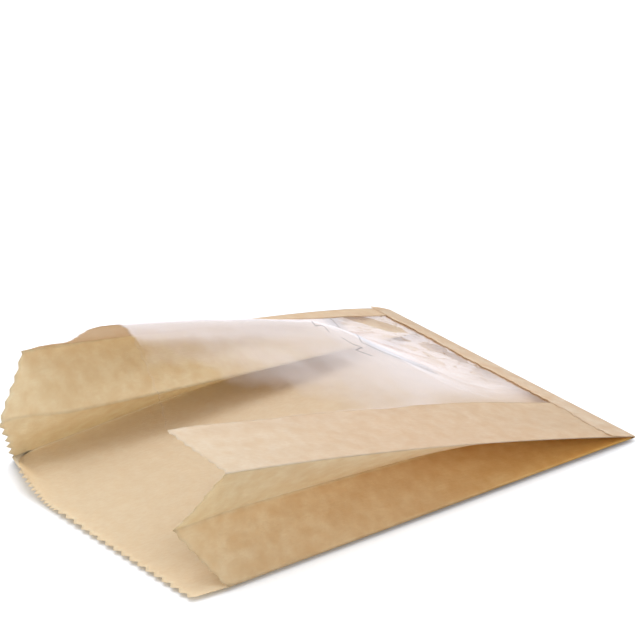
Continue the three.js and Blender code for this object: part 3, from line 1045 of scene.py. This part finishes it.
# %% Table
TABLE_SIZE = 12.0
TABLE_DROP = 0.002
TABLE_COLOR = (0.8, 0.83, 0.88, 1)
TABLE_GLOW = 0.42
CONTACT_REACH = 0.014
CONTACT_DARKEST = 0.2


def seen_ray(nodes, links):
    """1 for what the camera sees, directly or in a reflection or through something clear, and 0 for light."""
    path = nodes.new("ShaderNodeLightPath")
    seen = path.outputs["Is Camera Ray"]
    for ray in ("Is Glossy Ray", "Is Transmission Ray"):
        seen = add_math(nodes, links, "MAXIMUM", seen, path.outputs[ray])
    return seen


table_mesh = bmesh.new()
bmesh.ops.create_grid(table_mesh, x_segments=1, y_segments=1, size=TABLE_SIZE / 2)
bmesh.ops.translate(table_mesh, verts=table_mesh.verts, vec=(0, 0, -TABLE_DROP))
table_data = bpy.data.meshes.new("white_table")
table_mesh.to_mesh(table_data)
table_mesh.free()
table = bpy.data.objects.new("white_table", table_data)
bpy.context.scene.collection.objects.link(table)
white, nodes, links = new_material("white table")
shader = nodes["Principled BSDF"]
shader.inputs["Base Color"].default_value = TABLE_COLOR
shader.inputs["Roughness"].default_value = 0.9
shader.inputs["Specular IOR Level"].default_value = 0.0
shader.inputs["Emission Color"].default_value = (1, 1, 1, 1)
# Painted contact shadow: the table's glow is dimmed where the Ambient Occlusion node finds something close
# above.
contact_shadow_occlusion = nodes.new("ShaderNodeAmbientOcclusion")
contact_shadow_occlusion.inputs["Distance"].default_value = CONTACT_REACH
unshadowed_share = add_ramp(nodes, links, contact_shadow_occlusion.outputs["AO"], CONTACT_DARKEST, 1)
glow = add_math(nodes, links, "MULTIPLY", seen_ray(nodes, links), TABLE_GLOW)
links.new(add_math(nodes, links, "MULTIPLY", glow, unshadowed_share), shader.inputs["Emission Strength"])
table_data.materials.append(white)
print("table", TABLE_SIZE, "m wide at z =", -TABLE_DROP)

# %% [markdown]
# ## Light
# Soft, even studio light: most comes from all round, from a plain white world, and a large lamp overhead
# gives the folds their shade. A weak one in front lights the near gusset. The world shows as white to the
# camera, and lights a little less than white.

# %% World and lamps
WORLD_LIGHT = 0.74
WORLD_SEEN = 1.0
LAMP_AIM = (0, 0, 0.03)

world = bpy.data.worlds.new("studio")
bpy.context.scene.world = world
world.use_nodes = True
nodes, links = world.node_tree.nodes, world.node_tree.links
background = nodes["Background"]
background.inputs["Color"].default_value = (1, 1, 1, 1)
strength = nodes.new("ShaderNodeMapRange")
strength.inputs["To Min"].default_value = WORLD_LIGHT
strength.inputs["To Max"].default_value = WORLD_SEEN
links.new(seen_ray(nodes, links), strength.inputs["Value"])
links.new(strength.outputs["Result"], background.inputs["Strength"])


def add_lamp(name, place, size, power):
    light = bpy.data.lights.new(name, "AREA")
    light.size = size
    light.energy = power
    lamp = bpy.data.objects.new(name, light)
    lamp.location = place
    lamp.rotation_euler = (Vector(LAMP_AIM) - Vector(place)).to_track_quat("-Z", "Y").to_euler()
    bpy.context.scene.collection.objects.link(lamp)
    print(name, "lamp:", power, "W")


add_lamp("key", (-0.25, 0.2, 1.6), 0.9, 8)
add_lamp("fill", (-0.3, -1.4, 0.7), 1.2, 4)

# %% [markdown]
# ## Camera
# The photo was taken with a long lens, from the mouth's near corner, looking down on the bag. The camera's
# place follows from its height and from where the bag's near front corner appears in the picture, so it
# keeps its view of that corner if the angle is changed.

# %% Camera
PICTURE = 640
FOCAL_PIXELS = 3625
SENSOR_WIDTH = 36
CAMERA_HEIGHT = 0.889
LOOK_DOWN = math.radians(24.5)
LOOK_TURN = math.radians(-38)
CORNER_PIXEL = (229, 588)

right = (CORNER_PIXEL[0] - PICTURE / 2) / FOCAL_PIXELS
down = (CORNER_PIXEL[1] - PICTURE / 2) / FOCAL_PIXELS
reach = CAMERA_HEIGHT / (math.sin(LOOK_DOWN) + down * math.cos(LOOK_DOWN))
ahead = reach * (math.cos(LOOK_DOWN) - down * math.sin(LOOK_DOWN))
aside = reach * right
heading = Vector((-math.sin(LOOK_TURN), math.cos(LOOK_TURN), 0))
sideways = Vector((math.cos(LOOK_TURN), math.sin(LOOK_TURN), 0))
corner_place = Vector((FRONT_CUT, NEAR_SIDE, 0))
camera = bpy.data.objects.new("camera", bpy.data.cameras.new("camera"))
camera.location = corner_place - heading * ahead - sideways * aside + Vector((0, 0, CAMERA_HEIGHT))
camera.rotation_euler = (math.pi / 2 - LOOK_DOWN, 0, LOOK_TURN)
camera.data.sensor_width = SENSOR_WIDTH
camera.data.lens = FOCAL_PIXELS / PICTURE * SENSOR_WIDTH
camera.data.clip_end = 30
bpy.context.scene.collection.objects.link(camera)
bpy.context.scene.camera = camera
bpy.context.scene.view_settings.view_transform = "Standard"
print("camera at", [round(v, 3) for v in camera.location], "lens", round(camera.data.lens, 1))
